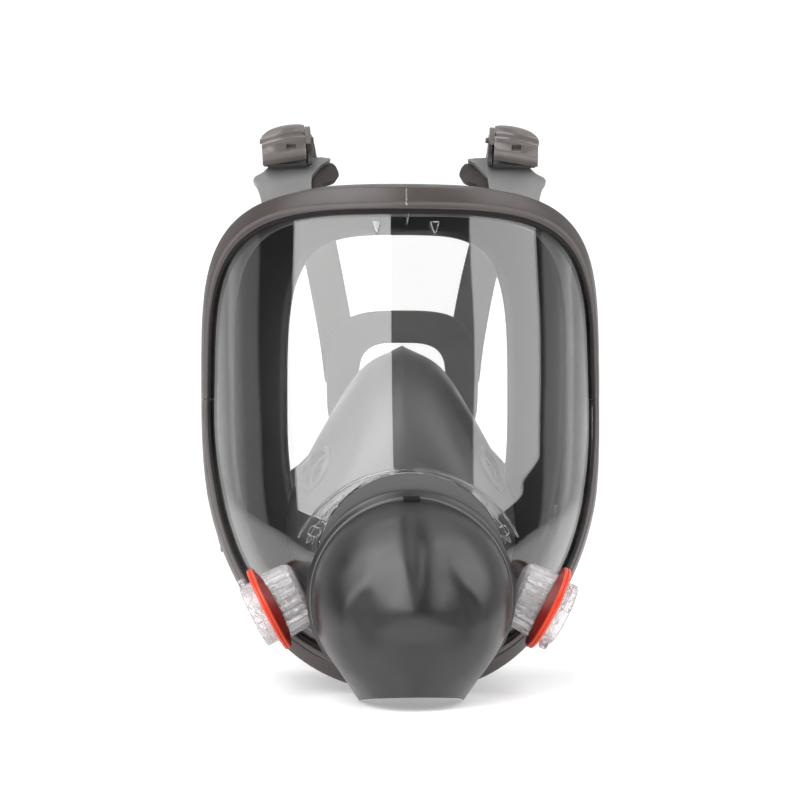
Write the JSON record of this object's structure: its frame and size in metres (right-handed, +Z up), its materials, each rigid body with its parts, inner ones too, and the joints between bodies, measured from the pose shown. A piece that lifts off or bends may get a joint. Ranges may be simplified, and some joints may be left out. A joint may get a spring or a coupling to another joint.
{
  "type": "full face respirator",
  "caption": "Full-face respirator: wide clear visor in a two-part frame, rubber face seal, nose cup, bayonet cheek ports, exhalation cover and a strap harness with cam buckles.",
  "frame": {"origin": "middle of the mask's width and depth, at the level of the front cover's flat bottom and the chin of the face seal", "axes": "+Z up along the wearer's height, -Y the way the visor faces, +X the wearer's left (the viewer's right from the front)"},
  "size_m": [0.1732, 0.2176, 0.2402],
  "materials": {
    "clear_lens": "clear polished",
    "frame_plastic": "satin moulded",
    "seal_rubber": "matte moulded",
    "cup_rubber": "satin moulded",
    "dark_plastic": "satin",
    "cover_plastic": "satin moulded",
    "red_gasket": "satin",
    "valve_rubber": "satin",
    "buckle_plastic": "semi-gloss moulded",
    "dark_steel": "blackened"
  },
  "bodies": {
    "root": {"lens": "clear_lens", "frame_upper": "frame_plastic", "frame_lower": "frame_plastic", "frame_screw_left": "dark_steel", "frame_screw_right": "dark_steel", "frame_nut_left": "dark_steel", "frame_nut_right": "dark_steel", "face_seal": "seal_rubber", "nose_cup": "cup_rubber", "nose_cup_seat_left": "dark_plastic", "nose_cup_seat_right": "dark_plastic", "center_adapter": "dark_plastic", "port_gasket_left": "red_gasket", "port_gasket_right": "red_gasket", "port_seat_left": "dark_plastic", "port_seat_right": "dark_plastic", "head_harness": "seal_rubber", "buckle_body_upper_left": "buckle_plastic", "buckle_pin_upper_left": "dark_steel", "buckle_body_lower_left": "buckle_plastic", "buckle_pin_lower_left": "dark_steel", "buckle_body_upper_right": "buckle_plastic", "buckle_pin_upper_right": "dark_steel", "buckle_body_lower_right": "buckle_plastic", "buckle_pin_lower_right": "dark_steel"},
    "cover": {"front_cover": "cover_plastic"},
    "exhalation_flap": {"exhalation_valve": "valve_rubber"},
    "inhalation_flap_left": {"inhalation_valve_left": "valve_rubber"},
    "cup_flap_left": {"nose_cup_valve_left": "valve_rubber"},
    "inhalation_flap_right": {"inhalation_valve_right": "valve_rubber"},
    "cup_flap_right": {"nose_cup_valve_right": "valve_rubber"},
    "lever_upper_left": {"buckle_lever_upper_left": "buckle_plastic"},
    "lever_lower_left": {"buckle_lever_lower_left": "buckle_plastic"},
    "lever_upper_right": {"buckle_lever_upper_right": "buckle_plastic"},
    "lever_lower_right": {"buckle_lever_lower_right": "buckle_plastic"}
  },
  "joints": [
    {"name": "buckle_lever_upper_left_hinge", "type": "hinge", "parent": "root", "child": "lever_upper_left", "pos_m": [-0.04971, 0.02978, 0.23283], "axis": [-0.9982, -0.0359, -0.0479], "range_deg": [0, 60]},
    {"name": "buckle_lever_upper_right_hinge", "type": "hinge", "parent": "root", "child": "lever_upper_right", "pos_m": [0.04971, 0.02978, 0.23283], "axis": [-0.9982, 0.0359, 0.0479], "range_deg": [0, 60]},
    {"name": "buckle_lever_lower_left_hinge", "type": "hinge", "parent": "root", "child": "lever_lower_left", "pos_m": [-0.07509, 0.07251, 0.06244], "axis": [0.0245, 0.1227, -0.9921], "range_deg": [0, 60]},
    {"name": "buckle_lever_lower_right_hinge", "type": "hinge", "parent": "root", "child": "lever_lower_right", "pos_m": [0.07509, 0.07251, 0.06244], "axis": [0.0245, -0.1227, 0.9921], "range_deg": [0, 60]},
    {"name": "inhalation_valve_left_lift", "type": "slide", "parent": "root", "child": "inhalation_flap_left", "axis": [0.891, 0, 0.454], "range_m": [0, 0.0015], "stiffness_N_per_m": 20},
    {"name": "inhalation_valve_right_lift", "type": "slide", "parent": "root", "child": "inhalation_flap_right", "axis": [-0.891, 0, 0.454], "range_m": [0, 0.0015], "stiffness_N_per_m": 20},
    {"name": "nose_cup_valve_left_lift", "type": "slide", "parent": "root", "child": "cup_flap_left", "axis": [0.8476, 0.3259, -0.4187], "range_m": [0, 0.0015], "stiffness_N_per_m": 20},
    {"name": "nose_cup_valve_right_lift", "type": "slide", "parent": "root", "child": "cup_flap_right", "axis": [-0.8476, 0.3259, -0.4187], "range_m": [0, 0.0015], "stiffness_N_per_m": 20},
    {"name": "exhalation_valve_lift", "type": "slide", "parent": "root", "child": "exhalation_flap", "axis": [0, -1, 0], "range_m": [0, 0.0018], "stiffness_N_per_m": 30},
    {"name": "front_cover_pull", "type": "slide", "parent": "root", "child": "cover", "axis": [0, -1, 0], "range_m": [0, 0.03]}
  ]
}
